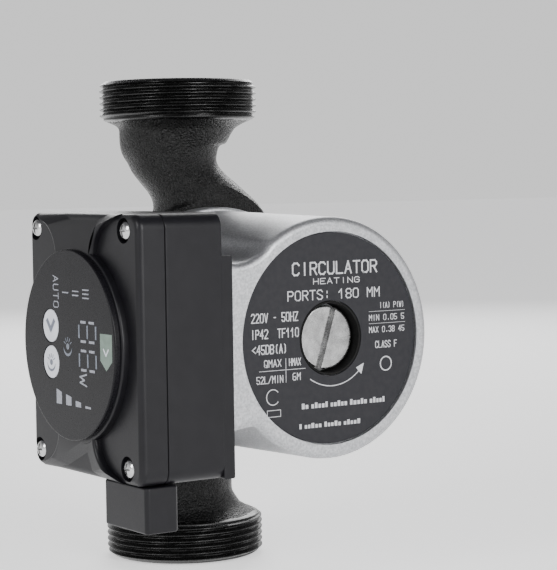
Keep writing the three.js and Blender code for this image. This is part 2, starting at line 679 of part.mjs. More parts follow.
piece("box_base", boxBase(), finishes.plastic);
piece("box_gasket", boxGasket(), finishes.rubber);
piece("box_cover", boxCover(), finishes.plastic);
COVER_SCREW_YS.forEach((y, column) =>
  [COVER_SCREW_HEIGHT, -COVER_SCREW_HEIGHT].forEach((z, row) =>
    piece(`cover_screw_${2 * column + row + 1}`, coverScrew(y, z), finishes.steel),
  ),
);
piece("display_lens", displayLens(), finishes.lens);
piece("key_mode", keyCap(KEY_HEIGHTS[0]), finishes.key);
piece("key_night", keyCap(KEY_HEIGHTS[1]), finishes.key);
piece("switch_mode", keySwitch(KEY_HEIGHTS[0]), finishes.display);
piece("switch_night", keySwitch(KEY_HEIGHTS[1]), finishes.display);
piece("display_board", displayBoard(), finishes.board);
piece("digit_tens", digitModule(5.2), finishes.display);
piece("digit_units", digitModule(-5.4), finishes.display);
piece("main_board", mainBoard(), finishes.board);
piece("filter_capacitor", filterCapacitor(), finishes.display);
piece("choke", choke(), finishes.copper);
piece("power_module", powerModule(), finishes.display);
piece("motor_plug", motorPlug(), finishes.key);
piece("heat_pad", heatPad(), finishes.pad);
piece("inlet_shell", inletShell(), finishes.plastic);
["pin_live", "pin_earth", "pin_neutral"].forEach((name, i) => piece(name, contactPin(PIN_YS[i]), finishes.brass));

export default pump;
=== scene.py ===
"""Looks of a wet-rotor circulator pump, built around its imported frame.

Sizes are in millimetres from the head's centre, where the port axis meets the motor axis, and the
helpers turn them into metres in the row frame. The motor points towards -Y, the box is on -X.
"""

import math

import bmesh
import bpy
from mathutils import Matrix, Vector, noise


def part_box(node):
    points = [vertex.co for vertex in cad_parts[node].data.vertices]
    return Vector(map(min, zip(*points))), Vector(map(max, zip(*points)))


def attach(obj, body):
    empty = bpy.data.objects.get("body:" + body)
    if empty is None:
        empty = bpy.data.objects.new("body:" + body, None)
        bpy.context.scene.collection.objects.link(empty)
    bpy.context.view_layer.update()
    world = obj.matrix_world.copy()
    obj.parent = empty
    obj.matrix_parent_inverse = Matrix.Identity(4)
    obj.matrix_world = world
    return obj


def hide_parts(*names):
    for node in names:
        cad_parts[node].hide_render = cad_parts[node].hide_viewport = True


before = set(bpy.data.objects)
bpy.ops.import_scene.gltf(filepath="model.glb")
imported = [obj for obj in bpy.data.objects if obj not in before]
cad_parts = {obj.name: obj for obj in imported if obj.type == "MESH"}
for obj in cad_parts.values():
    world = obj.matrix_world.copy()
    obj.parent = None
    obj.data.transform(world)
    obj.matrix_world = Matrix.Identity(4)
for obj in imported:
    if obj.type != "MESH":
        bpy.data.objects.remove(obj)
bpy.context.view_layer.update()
MM = 0.001


def middle(node):
    low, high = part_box(node)
    return (low + high) / 2


def span(node, axis):
    """A node's lowest and highest coordinate along an axis, in head millimetres."""
    low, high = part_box(node)
    return (low[axis] - HEAD[axis]) / MM, (high[axis] - HEAD[axis]) / MM


# ---- Driving values, from the frame ----
HEAD = Vector((0, 0, middle("nameplate").z))
LOWER_FACE, UPPER_FACE = span("pump_body", 2)
BARREL_FRONT, FLANGE_BACK = span("motor_housing", 1)
LABEL_FACE = span("nameplate", 1)[0]
LABEL_RADIUS = span("nameplate", 0)[1]
VENT_FACE, VENT_END = span("vent_screw", 1)
VENT_RADIUS = span("vent_screw", 2)[1]
BOX_FRONT, BOX_REAR = span("box_base", 1)
BOX_LOW, BOX_HIGH = span("box_base", 2)
BOX_PARTING, BOX_INNER = span("box_base", 0)
COVER_INNER = span("box_cover", 0)[1]
BAND_FACE = span("box_cover", 0)[0] - 1.6
LENS_FACE, LENS_BACK = span("display_lens", 0)
LENS_Y = (middle("display_lens").y - HEAD.y) / MM
LENS_RADIUS = span("display_lens", 2)[1]
KEY_CENTRES = {name: (middle(name) - HEAD) / MM for name in ("key_mode", "key_night")}
KEY_RADIUS = (span("key_mode", 2)[1] - span("key_mode", 2)[0]) / 2
COVER_SCREWS = [f"cover_screw_{i}" for i in (1, 2, 3, 4)]
HOUSING_SCREWS = [f"housing_screw_{i}" for i in (1, 2, 3, 4)]
BARREL_RADIUS = 43
FLANGE_RADIUS = 44.3
FLANGE_FRONT = -28
VENT_RECESS = 12.8
VENT_LEDGE = -90
COVER_PANEL = -76.6
THREAD_PITCH = 2.309
THREAD_CREST = 29.8
THREAD_DEPTH = 1.5
PORT_BORE = 17

X, Y, Z = Vector((1, 0, 0)), Vector((0, 1, 0)), Vector((0, 0, 1))
AXES = (X, Y, Z)


# ---- Mesh helpers ----
def mesh_object(name, bm):
    bmesh.ops.recalc_face_normals(bm, faces=bm.faces)
    mesh = bpy.data.meshes.new(name)
    bm.to_mesh(mesh)
    bm.free()
    made = bpy.data.objects.new(name, mesh)
    bpy.context.scene.collection.objects.link(made)
    return made


def sides_of(axis):
    """Two unit vectors across an axis."""
    first = Z if abs(axis.z) < 0.5 else X
    return first, axis.cross(first)


def filleted(corners, steps=5):
    """A profile with round corners, from (radius, along, fillet) triples."""
    points = []
    count = len(corners)
    for i, (r, t, fillet) in enumerate(corners):
        here = Vector((r, t))
        if not fillet:
            points.append(here)
            continue
        before = Vector(corners[i - 1][:2])
        after = Vector(corners[(i + 1) % count][:2])
        start = here + (before - here).normalized() * fillet
        end = here + (after - here).normalized() * fillet
        for k in range(steps + 1):
            f = k / steps
            points.append(start * (1 - f) ** 2 + here * 2 * f * (1 - f) + end * f**2)
    return points


def lathe(name, corners, axis=Y, centre=(0, 0, 0), sides=128):
    """A closed solid of revolution. The profile starts and ends on the axis, or closes on itself."""
    profile = filleted(corners)
    u, v = sides_of(axis)
    origin = HEAD + Vector(centre) * MM
    bm = bmesh.new()
    rings = []
    for r, t in profile:
        base = origin + axis * t * MM
        if r < 1e-6:
            rings.append([bm.verts.new(base)])
            continue
        turns = [2 * math.pi * k / sides for k in range(sides)]
        rings.append([bm.verts.new(base + (u * math.cos(a) + v * math.sin(a)) * r * MM) for a in turns])
    pairs = list(zip(rings, rings[1:]))
    if len(rings[0]) > 1:
        pairs.append((rings[-1], rings[0]))
    for low, high in pairs:
        if len(low) == 1 and len(high) == 1:
            continue
        for k in range(sides):
            n = (k + 1) % sides
            if len(low) == 1:
                bm.faces.new((low[0], high[n], high[k]))
            elif len(high) == 1:
                bm.faces.new((low[k], low[n], high[0]))
            else:
                bm.faces.new((low[k], low[n], high[n], high[k]))
    return mesh_object(name, bm)


def prism(name, outline, axis, start, end):
    """An outline in the other two axes, in X, Y, Z order, pushed along one axis."""
    across = [a for a in (0, 1, 2) if a != axis]
    bm = bmesh.new()
    loops = []
    for depth in (start, end):
        loop = []
        for a, b in outline:
            point = [0, 0, 0]
            point[axis], point[across[0]], point[across[1]] = depth, a, b
            loop.append(bm.verts.new(HEAD + Vector(point) * MM))
        loops.append(loop)
    bm.faces.new(loops[0])
    bm.faces.new(reversed(loops[1]))
    count = len(outline)
    for k in range(count):
        n = (k + 1) % count
        bm.faces.new((loops[0][k], loops[1][k], loops[1][n], loops[0][n]))
    return mesh_object(name, bm)


def arc_points(cu, cv, radius, start, end, steps=24):
    turns = [math.radians(start + (end - start) * k / steps) for k in range(steps + 1)]
    return [(cu + radius * math.cos(a), cv + radius * math.sin(a)) for a in turns]


def rounded_rectangle(a0, a1, b0, b1, radius, steps=8):
    corners = [(a1 - radius, b1 - radius, 0), (a0 + radius, b1 - radius, 90)]
    corners += [(a0 + radius, b0 + radius, 180), (a1 - radius, b0 + radius, 270)]
    points = []
    for a, b, start in corners:
        for k in range(steps + 1):
            turn = math.radians(start + 90 * k / steps)
            points.append((a + radius * math.cos(turn), b + radius * math.sin(turn)))
    return points


def smoothed(outline, count=480, passes=12):
    """A closed outline resampled to a number of even steps and rounded at its corners."""
    points = [Vector(p) for p in outline]
    spans = [(after - here).length for here, after in zip(points, points[1:] + points[:1])]
    step = sum(spans) / count
    even = []
    travelled = 0
    for here, after, length in zip(points, points[1:] + points[:1], spans):
        while len(even) < count and len(even) * step < travelled + length:
            even.append(here.lerp(after, (len(even) * step - travelled) / length))
        travelled += length
    for _ in range(passes):
        even = [(even[i - 1] + even[i] * 2 + even[(i + 1) % count]) / 4 for i in range(count)]
    return [tuple(p) for p in even]


def inset(outline, distance):
    """A closed anticlockwise outline moved inwards along its own normals."""
    moved = []
    for k, here in enumerate(outline):
        after, before = outline[(k + 1) % len(outline)], outline[k - 1]
        way = Vector((after[0] - before[0], after[1] - before[1])).normalized()
        moved.append((here[0] - way.y * distance, here[1] + way.x * distance))
    return moved


def stacked(name, layers, axis):
    """A closed solid through outlines of one length, given with their depths along an axis."""
    across = [a for a in (0, 1, 2) if a != axis]
    bm = bmesh.new()
    loops = []
    for outline, depth in layers:
        loop = []
        for a, b in outline:
            point = [0, 0, 0]
            point[axis], point[across[0]], point[across[1]] = depth, a, b
            loop.append(bm.verts.new(HEAD + Vector(point) * MM))
        loops.append(loop)
    bm.faces.new(loops[0])
    bm.faces.new(reversed(loops[-1]))
    for low, high in zip(loops, loops[1:]):
        for k in range(len(low)):
            n = (k + 1) % len(low)
            bm.faces.new((low[k], high[k], high[n], low[n]))
    return mesh_object(name, bm)


def rounded_layers(outline, face, back, radius, steps=6):
    """Layers of a prism with a rounded front edge."""
    way = 1 if back > face else -1
    layers = []
    for k in range(steps + 1):
        turn = math.pi / 2 * k / steps
        layers.append((inset(outline, radius * (1 - math.sin(turn))), face + way * radius * (1 - math.cos(turn))))
    return layers + [(outline, back)]


def tube(name, stations, steps=60, sides=72):
    """A round pipe through (x, y, z, radius) stations."""
    bm = bmesh.new()
    rings = []
    for k in range(steps + 1):
        x, y, z, radius = along_spline(stations, k / steps)
        ahead = along_spline(stations, min(1, k / steps + 0.01))
        behind = along_spline(stations, max(0, k / steps - 0.01))
        way = (Vector(ahead[:3]) - Vector(behind[:3])).normalized()
        side = Y.cross(way).normalized()
        other = way.cross(side)
        ring = []
        for n in range(sides):
            turn = 2 * math.pi * n / sides
            offset = (side * math.cos(turn) + other * math.sin(turn)) * radius
            ring.append(bm.verts.new(HEAD + (Vector((x, y, z)) + offset) * MM))
        rings.append(ring)
    for low, high in zip(rings, rings[1:]):
        for n in range(sides):
            m = (n + 1) % sides
            bm.faces.new((low[n], low[m], high[m], high[n]))
    bm.faces.new(rings[0])
    bm.faces.new(reversed(rings[-1]))
    return mesh_object(name, bm)


def sliced(name, rows, way, sides=96, steps=48):
    """A leaning neck through level round slices of (z, offset along a level direction, radius)."""
    bm = bmesh.new()
    rings = []
    for k in range(steps + 1):
        z, offset, radius = along_spline(rows, k / steps)
        centre = way * offset + Z * z
        turns = [2 * math.pi * n / sides for n in range(sides)]
        rings.append([bm.verts.new(HEAD + (centre + (X * math.cos(a) + Y * math.sin(a)) * radius) * MM) for a in turns])
    for low, high in zip(rings, rings[1:]):
        for n in range(sides):
            m = (n + 1) % sides
            bm.faces.new((low[n], low[m], high[m], high[n]))
    bm.faces.new(rings[0])
    bm.faces.new(reversed(rings[-1]))
    return mesh_object(name, bm)


def along_spline(stations, t):
    """A Catmull-Rom curve through equal-length tuples."""
    place = t * (len(stations) - 1)
    i = min(int(place), len(stations) - 2)
    f = place - i
    p = [stations[min(max(i + k, 0), len(stations) - 1)] for k in (-1, 0, 1, 2)]
    mixed = []
    for a, b, c, d in zip(*p):
        mixed.append(0.5 * (2 * b + (c - a) * f + (2 * a - 5 * b + 4 * c - d) * f**2 + (3 * b - a - 3 * c + d) * f**3))
    return mixed


def apply_modifiers(made):
    graph = bpy.context.evaluated_depsgraph_get()
    mesh = bpy.data.meshes.new_from_object(made.evaluated_get(graph))
    made.modifiers.clear()
    made.data = mesh
    return made


def combine(made, *others, operation="DIFFERENCE"):
    """Cuts or joins closed meshes, and removes the others."""
    for other in others:
        step = made.modifiers.new("combine", "BOOLEAN")
        step.operation = operation
        step.solver = "MANIFOLD"
        step.object = other
        apply_modifiers(made)
        bpy.data.objects.remove(other)
    return made


def bevelled(made, width, segments=3, angle=40):
    step = made.modifiers.new("bevel", "BEVEL")
    step.width = width * MM
    step.segments = segments
    step.limit_method = "ANGLE"
    step.angle_limit = math.radians(angle)
    return apply_modifiers(made)


def joined(name, parts):
    bm = bmesh.new()
    for part in parts:
        bm.from_mesh(part.data)
        bpy.data.objects.remove(part)
    return mesh_object(name, bm)


NORMALS_LIMIT = 60000


def piece(made, look, body="pump", replaces=(), smooth=32):
    """Gives a piece its material, body and shading, and hides the parts it replaces."""
    made.data.materials.clear()
    made.data.materials.append(look)
    for polygon in made.data.polygons:
        polygon.use_smooth = True
    made.data.set_sharp_from_angle(angle=math.radians(smooth))
    if len(made.data.vertices) < NORMALS_LIMIT:
        level = made.modifiers.new("flat_faces", "WEIGHTED_NORMAL")
        level.keep_sharp = True
        apply_modifiers(made)
    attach(made, body)
    if replaces:
        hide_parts(*replaces)
    return made


# ---- Materials ----
def surface(name, dark, light, rough, metallic=0.0, patch=0.012, grain=0.0006, bump=0.1,
            depth=0.0001, coat=0.0, specular=0.5):
    """A surface with colour patches and a bumped grain. Patch and grain are sizes in metres."""
    made = bpy.data.materials.new(name)
    made.use_nodes = True
    tree = made.node_tree
    tree.nodes.clear()
    output = tree.nodes.new("ShaderNodeOutputMaterial")
    shader = tree.nodes.new("ShaderNodeBsdfPrincipled")
    tree.links.new(shader.outputs[0], output.inputs[0])
    shader.inputs["Metallic"].default_value = metallic
    shader.inputs["Coat Weight"].default_value = coat
    shader.inputs["Specular IOR Level"].default_value = specular
    place = tree.nodes.new("ShaderNodeTexCoord").outputs["Object"]

    def cloud(size, detail):
        texture = tree.nodes.new("ShaderNodeTexNoise")
        texture.inputs["Scale"].default_value = 1 / size
        texture.inputs["Detail"].default_value = detail
        tree.links.new(place, texture.inputs["Vector"])
        return texture.outputs["Fac"]

    ramp = tree.nodes.new("ShaderNodeValToRGB")
    ramp.color_ramp.elements[0].position = 0.35
    ramp.color_ramp.elements[0].color = (*dark, 1)
    ramp.color_ramp.elements[1].position = 0.65
    ramp.color_ramp.elements[1].color = (*light, 1)
    tree.links.new(cloud(patch, 4), ramp.inputs["Fac"])
    tree.links.new(ramp.outputs["Color"], shader.inputs["Base Color"])
    fine = cloud(grain, 3)
    spread = tree.nodes.new("ShaderNodeMapRange")
    spread.inputs["From Min"].default_value = 0.3
    spread.inputs["From Max"].default_value = 0.7
    spread.inputs["To Min"].default_value = rough[0]
    spread.inputs["To Max"].default_value = rough[1]
    tree.links.new(fine, spread.inputs["Value"])
    tree.links.new(spread.outputs["Result"], shader.inputs["Roughness"])
    relief = tree.nodes.new("ShaderNodeBump")
    relief.inputs["Strength"].default_value = bump
    relief.inputs["Distance"].default_value = depth
    tree.links.new(fine, relief.inputs["Height"])
    tree.links.new(relief.outputs["Normal"], shader.inputs["Normal"])
    return made


def grey(level, tint=0.0):
    return (level * (1 - tint), level * (1 - tint * 0.6), level * (1 + tint))


CAST = surface("coated_casting", grey(0.0015), grey(0.004), (0.16, 0.42), patch=0.003, grain=0.00075,
               bump=1.0, depth=0.0011, specular=0.3)
THREADED = surface("coated_thread", grey(0.002), grey(0.0035), (0.2, 0.32), patch=0.004, grain=0.0012,
                   bump=0.06, depth=0.0002, specular=0.4)
DIE_CAST = surface("blasted_aluminium", (0.36, 0.365, 0.38), (0.54, 0.545, 0.56), (0.34, 0.5),
                   metallic=0.9, patch=0.0007, grain=0.00035, bump=0.4, depth=0.0002)
STEEL = surface("bright_steel", grey(0.5), grey(0.66), (0.14, 0.26), metallic=1.0, patch=0.004,
                grain=0.0008, bump=0.08)
SCREW_FACE = surface("turned_screw", grey(0.3), grey(0.5), (0.2, 0.38), metallic=1.0, patch=0.005,
                     grain=0.0005, bump=0.12)
STAINLESS = surface("pressed_stainless", grey(0.4), grey(0.5), (0.25, 0.4), metallic=1.0, bump=0.1)
LABEL = surface("label_plate", (0.0155, 0.0155, 0.0185), (0.0195, 0.0195, 0.0225), (0.42, 0.55), patch=0.002,
                grain=0.0004, bump=0.12, specular=0.2)
PLASTIC = surface("black_moulding", (0.0056, 0.0054, 0.007), (0.0074, 0.0072, 0.009), (0.3, 0.42),
                  patch=0.006, grain=0.00045, bump=0.12, specular=0.24)
LENS = surface("display_lens_face", (0.006, 0.0058, 0.0072), (0.0075, 0.0072, 0.009), (0.24, 0.32),
               patch=0.01, grain=0.0005, bump=0.04, specular=0.16)
KEY = surface("white_key", (0.66, 0.68, 0.74), (0.76, 0.78, 0.83), (0.3, 0.4), patch=0.004, bump=0.04)
PRINT = surface("label_print", (0.42, 0.42, 0.44), (0.54, 0.54, 0.56), (0.4, 0.5), patch=0.001, bump=0.05)
MARK = surface("display_mark", (0.25, 0.26, 0.3), (0.33, 0.34, 0.39), (0.35, 0.45), patch=0.001, bump=0.05)
DIM_MARK = surface("unlit_segment", (0.14, 0.16, 0.2), (0.19, 0.21, 0.26), (0.35, 0.45), patch=0.001,
                   bump=0.05)
ICON = surface("grey_icon", (0.12, 0.135, 0.18), (0.16, 0.175, 0.22), (0.35, 0.45), patch=0.001, bump=0.05)
TAG = surface("pale_green_tag", (0.14, 0.2, 0.165), (0.18, 0.245, 0.205), (0.35, 0.45), patch=0.002, bump=0.05)
# Black rubber for the seals and gasket, also used as painted shade for the ring in the vent recess.
BLACK_RUBBER_AND_SHADE = surface("black_rubber_and_painted_shade", grey(0.003), grey(0.005), (0.6, 0.8), bump=0.2, specular=0.15)
BRASS = surface("plain_brass", (0.5, 0.34, 0.1), (0.62, 0.44, 0.16), (0.25, 0.4), metallic=1.0)
COPPER = surface("lacquered_copper", (0.35, 0.12, 0.04), (0.5, 0.2, 0.07), (0.25, 0.4), metallic=1.0,
                 patch=0.0012)
CERAMIC = surface("polished_ceramic", (0.68, 0.66, 0.6), (0.76, 0.74, 0.68), (0.15, 0.25), bump=0.03)
MAGNET = surface("dark_magnet", grey(0.03), grey(0.05), (0.4, 0.5), metallic=0.6)
LAMINATION = surface("sheet_steel", grey(0.15), grey(0.26), (0.35, 0.5), metallic=0.9, patch=0.0006)
BLUE_PLASTIC = surface("filled_plastic", (0.012, 0.03, 0.06), (0.02, 0.045, 0.08), (0.4, 0.5))
BOARD = surface("circuit_board", (0.01, 0.08, 0.025), (0.02, 0.14, 0.05), (0.35, 0.5), patch=0.003)
COMPONENT = surface("component_body", grey(0.012), grey(0.02), (0.35, 0.5), patch=0.003)
PAD = surface("thermal_pad", (0.3, 0.36, 0.4), (0.38, 0.44, 0.48), (0.7, 0.85), patch=0.002)
FLOOR = surface("pale_floor", (0.9, 0.9, 0.9), (0.92, 0.92, 0.92), (0.6, 0.7), patch=0.5, bump=0.0)

# ---- Camera, lights and floor ----
AIM = Vector((0.03195, -0.0196, 0.10172))
EYE = Vector((-0.38263, -0.63116, 0.14309))
LENS_LENGTH = 121.6
CAMERA_ROLL = -0.8


def make_camera():
    data = bpy.data.cameras.new("camera")
    data.lens = LENS_LENGTH
    data.clip_start = 0.01
    camera = bpy.data.objects.new("camera", data)
    bpy.context.scene.collection.objects.link(camera)
    turn = (AIM - EYE).to_track_quat("-Z", "Y").to_matrix().to_4x4()
    roll = Matrix.Rotation(math.radians(CAMERA_ROLL), 4, "Z")
    camera.matrix_world = Matrix.Translation(EYE) @ turn @ roll
    bpy.context.scene.camera = camera


def area_light(name, place, size, power):
    data = bpy.data.lights.new(name, "AREA")
    data.size = size
    data.energy = power
    lamp = bpy.data.objects.new(name, data)
    bpy.context.scene.collection.objects.link(lamp)
    lamp.location = place
    lamp.rotation_euler = (middle("motor_housing") - Vector(place)).to_track_quat("-Z", "Y").to_euler()


def make_stage():
    area_light("front_light", (0.05, -1.3, 0.5), 0.7, 16)
    area_light("left_light", (-1.1, -0.35, 0.6), 0.5, 7)
    area_light("back_light", (0.6, 0.9, 0.7), 0.8, 9)
    world = bpy.data.worlds.new("studio")
    world.use_nodes = True
    tree = world.node_tree
    sky = tree.nodes["Background"]
    place = tree.nodes.new("ShaderNodeTexCoord").outputs["Generated"]
    split = tree.nodes.new("ShaderNodeSeparateXYZ")
    tree.links.new(place, split.inputs["Vector"])
    ramp = tree.nodes.new("ShaderNodeValToRGB")
    ramp.color_ramp.elements[0].position = 0.12
    ramp.color_ramp.elements[0].color = (1, 1, 1, 1)
    ramp.color_ramp.elements[1].position = 0.6
    ramp.color_ramp.elements[1].color = (0.16, 0.16, 0.17, 1)
    tree.links.new(split.outputs["Z"], ramp.inputs["Fac"])
    tree.links.new(ramp.outputs["Color"], sky.inputs["Color"])
    sky.inputs["Strength"].default_value = 0.95
    bpy.context.scene.world = world
    bm = bmesh.new()
    bmesh.ops.create_grid(bm, x_segments=4, y_segments=4, size=8)
    floor = mesh_object("floor", bm)
    floor.location.z = -0.0006
    glow = FLOOR.node_tree.nodes["Principled BSDF"]
    glow.inputs["Emission Color"].default_value = (1, 1, 1, 1)
    glow.inputs["Emission Strength"].default_value = 0.72
    floor.data.materials.append(FLOOR)


# ---- Pump body ----
NECK = 18
NECK_BORE = 13
UPPER_NECK = [(0, 0, 82), (-2.0, 1.4, 74), (-2.6, 2.2, 66), (-1.6, 2.4, 61), (1.6, 0.4, 55.6), (5.6, -2.8, 50),
              (8.2, -5, 45), (9.6, -6, 40), (10, -10, 30)]
LOWER_NECK = [(0, 0, -82), (0, 0, -68), (0, 1.5, -55), (0, 11, -38), (0, 11.5, -18), (0, 12, 0)]
BEND = Vector((0.827, -0.562, 0))
UPPER_SLICES = [(80, -1.5, 19.5), (73, -2.5, 20), (66, -3.5, 18.5), (61, -2.5, 17), (57, 0, 17.5), (50, 6.5, 18.5),
                (45, 10, 20), (40, 11, 22), (32, 11, 23)]
UPPER_SWELL = (0, 0, 0, -0.9, -0.4, 0.3, 0.8, 1.2, 1)
LOWER_TAPER = (0, 0, 0, -3, -3, -4)


def with_radius(stations, radius, changes):
    return [(*place, radius + change) for place, change in zip(stations, changes)]


def casting():
    """The rough outside: casing, necks and screw lugs, blended together as in a mould."""
    casing = lathe("casing", [
        (0, FLANGE_BACK + 0.3, 0), (46, FLANGE_BACK + 0.3, 1), (46, -13, 2), (44, -11, 0), (43, -2, 4),
        (36, 8, 6), (25, 25, 3), (20, 27, 2), (0, 27, 0)])
    parts = [casing]
    parts.append(sliced("upper_neck", UPPER_SLICES, BEND))
    parts.append(tube("lower_neck", with_radius(LOWER_NECK, NECK + 0.3, LOWER_TAPER)))
    for face, way in ((LOWER_FACE, 1), (UPPER_FACE, -1)):
        parts.append(lathe("collar", [(0, face + way * 12, 0), (27.9, face + way * 12, 0),
                                      (27.9, face + way * 14.9, 0), (24.5, face + way * 16.2, 0),
                                      (21.4, face + way * 18, 0), (19.6, face + way * 21, 0),
                                      (NECK, face + way * 24, 0), (0, face + way * 24, 0)], Z))
    for name in HOUSING_SCREWS:
        centre = (middle(name) - HEAD) / MM
        parts.append(lathe("lug", [(0, FLANGE_BACK + 0.3, 0), (7, FLANGE_BACK + 0.3, 0), (7, -11, 2), (0, -11, 0)],
                           centre=(centre.x, 0, centre.z), sides=48))
    body = joined("pump_casting", parts)
    remesh = body.modifiers.new("blend", "REMESH")
    remesh.mode = "VOXEL"
    remesh.voxel_size = 0.0008
    apply_modifiers(body)
    relax = body.modifiers.new("relax", "SMOOTH")
    relax.factor = 0.5
    relax.iterations = 9
    apply_modifiers(body)
    roughen(body)
    return body


def roughen(body):
    """Moves each point along its normal by a sand-cast relief."""
    shifts = []
    for vertex in body.data.vertices:
        coarse = noise.noise(vertex.co * 160)
        fine = noise.noise(vertex.co * 620)
        shifts.append(vertex.normal * (coarse * 0.12 + fine * 0.07) * MM)
    for vertex, shift in zip(body.data.vertices, shifts):
        vertex.co += shift


def waterway():
    """What is hollow: port bores, necks, impeller chamber, eye and the motor's side."""
    cuts = [tube("upper_bore", with_radius(UPPER_NECK, NECK_BORE, UPPER_SWELL), sides=48),
            tube("lower_bore", with_radius(LOWER_NECK, NECK_BORE, LOWER_TAPER), sides=48)]
    for face, way in ((LOWER_FACE, 1), (UPPER_FACE, -1)):
        cuts.append(lathe("port_bore", [(0, face - way, 0), (PORT_BORE, face - way, 0),
                                        (PORT_BORE, face + way * 13, 0), (0, face + way * 13, 0)], Z))
    cuts.append(lathe("chamber", [(0, -40, 0), (38.5, -40, 0), (38.5, -16, 0), (37, -16, 0), (37, -6, 0),
                                  (35, -4, 0), (0, -4, 0)]))
    cuts.append(lathe("eye", [(0, -6, 0), (14, -6, 0), (14, 10, 0), (0, 10, 0)]))
    cuts.append(prism("motor_side", rounded_rectangle(-70, 70, -60, 60, 5), 1, -80, FLANGE_BACK + 0.3))
    return cuts


def port_thread(name, face, way):
    """A threaded end with a true helix, a chamfered start and a fading last turn."""
    sides, rows_per_turn, length = 160, 12, 14.6
    rows = int(length / THREAD_PITCH * rows_per_turn)
    root = THREAD_CREST - THREAD_DEPTH
    bm = bmesh.new()
    columns = []
    for k in range(sides):
        turn = 2 * math.pi * k / sides
        out = Vector((math.cos(turn), math.sin(turn), 0))
        profile = [(PORT_BORE, 0.0)]
        for row in range(rows + 1):
            depth = length * row / rows
            phase = (depth / THREAD_PITCH - way * turn / (2 * math.pi)) % 1
            ridge = min(1, max(0, abs(2 * phase - 1) * 1.3 - 0.14))
            fade = min(1, max(0, (length - depth) / 1.2))
            limit = root - 0.6 + depth * 1.3
            profile.append((min(limit, root + THREAD_DEPTH * ridge * fade), depth))
        profile.append((26.5, 15.4))
        profile.append((PORT_BORE, 15.4))
        columns.append([bm.verts.new(HEAD + (out * r + Z * (face + way * t)) * MM) for r, t in profile])
    count = len(columns[0])
    for k in range(sides):
        here, after = columns[k], columns[(k + 1) % sides]
        for i in range(count):
            j = (i + 1) % count
            bm.faces.new((here[i], after[i], after[j], here[j]))
    made = mesh_object(name, bm)
    return made


def make_pump_body():
    body = combine(casting(), *waterway())
    piece(body, CAST, replaces=("pump_body",), smooth=50)
    for name, face, way in (("lower_port_thread", LOWER_FACE, 1), ("upper_port_thread", UPPER_FACE, -1)):
        piece(port_thread(name, face, way), THREADED, replaces=("pump_body",), smooth=50)


# ---- Motor ----
BARREL_FRONT_RADIUS = 41.5
POCKET = [(-24.2, 34.2), (-26.2, 31.6), (-28.8, 29.5), (-31.8, 28), (-35, 27.1), (-38, 26.8), (-41.5, 27.6)]


def housing_outline(radius):
    """The barrel with the web to the box, in x and z, with the pocket above the web."""
    web_left = BOX_INNER + 0.5
    points = arc_points(0, 0, radius, 222, 484, 160)
    points += POCKET
    points += [(web_left, 30.6), (web_left, -31), (-42, -29.3), (-38, -28.6)]
    return smoothed(points)


def make_housing():
    layers = rounded_layers(housing_outline(BARREL_FRONT_RADIUS), BARREL_FRONT, BARREL_FRONT + 4, 2.6)
    layers.append((housing_outline(BARREL_RADIUS), FLANGE_FRONT + 1))
    web_end = BOX_INNER + 0.4
    whole = layers[-2][0]
    layers = [([(web_end if edge[0] < web_end + 0.8 else x, z) for edge, (x, z) in zip(whole, outline)], depth)
              for outline, depth in layers]
    barrel = stacked("motor_barrel", layers, 1)
    flange = lathe("flange", [(0, FLANGE_BACK, 0), (FLANGE_RADIUS, FLANGE_BACK, 0.6),
                              (FLANGE_RADIUS, FLANGE_FRONT, 1.2), (0, FLANGE_FRONT, 0)])
    recess = LABEL_FACE + 1.1
    front_cut = lathe("front_cut", [
        (0, -120, 0), (LABEL_RADIUS + 0.35, -120, 0), (LABEL_RADIUS + 0.35, recess, 0), (VENT_RECESS, recess, 0),
        (VENT_RECESS, VENT_LEDGE, 0), (9.1, VENT_LEDGE, 0), (9.1, -80, 0), (0, -80, 0)], sides=160)
    hollow = lathe("hollow", [(0, -10, 0), (38.3, -10, 0), (38.3, -22, 0), (33.3, -22, 0), (33.3, -83.4, 0),
                              (29, -86.2, 0), (0, -86.2, 0)])
    cable_way = prism("cable_way", rounded_rectangle(-66, -46, -10, 10, 3), 0, BOX_INNER - 5, -30)
    combine(barrel, flange, operation="UNION")
    for name in HOUSING_SCREWS:
        at = (middle(name) - HEAD) / MM
        lug = lathe("lug", [(0, FLANGE_BACK, 0), (7, FLANGE_BACK, 0.5), (7, FLANGE_FRONT, 1.2), (0, FLANGE_FRONT, 0)],
                    centre=(at.x, 0, at.z), sides=48)
        combine(barrel, lug, operation="UNION")
    combine(barrel, hollow, front_cut, cable_way)
    for name in HOUSING_SCREWS:
        at = (middle(name) - HEAD) / MM
        holes = [(0, FLANGE_FRONT - 30, 0), (4.9, FLANGE_FRONT - 30, 0), (4.9, FLANGE_FRONT, 0),
                 (3.2, FLANGE_FRONT, 0), (3.2, FLANGE_BACK + 2, 0), (0, FLANGE_BACK + 2, 0)]
        combine(barrel, lathe("hole", holes, centre=(at.x, 0, at.z), sides=40))
    barrel.name = "motor_shell"
    piece(barrel, DIE_CAST, replaces=("motor_housing",))


def make_nameplate():
    plate = lathe("label_disc", [
        (VENT_RECESS + 0.1, LABEL_FACE + 0.8, 0), (LABEL_RADIUS, LABEL_FACE + 0.8, 0),
        (LABEL_RADIUS, LABEL_FACE, 0.2), (VENT_RECESS + 0.1, LABEL_FACE, 0.2)], sides=180)
    piece(plate, LABEL, replaces=("nameplate",))
    # Painted shade: a black ring lining the vent recess, standing in for the deep shadow between the vent screw and the
    # nameplate.
    recess_shade = lathe("vent_recess_painted_shade", [
        (VENT_RECESS - 0.9, LABEL_FACE + 0.1, 0.3), (VENT_RECESS - 0.05, LABEL_FACE + 0.1, 0.3),
        (VENT_RECESS - 0.05, VENT_LEDGE - 0.1, 0), (VENT_RECESS - 0.9, VENT_LEDGE - 0.1, 0)])
    piece(recess_shade, BLACK_RUBBER_AND_SHADE)


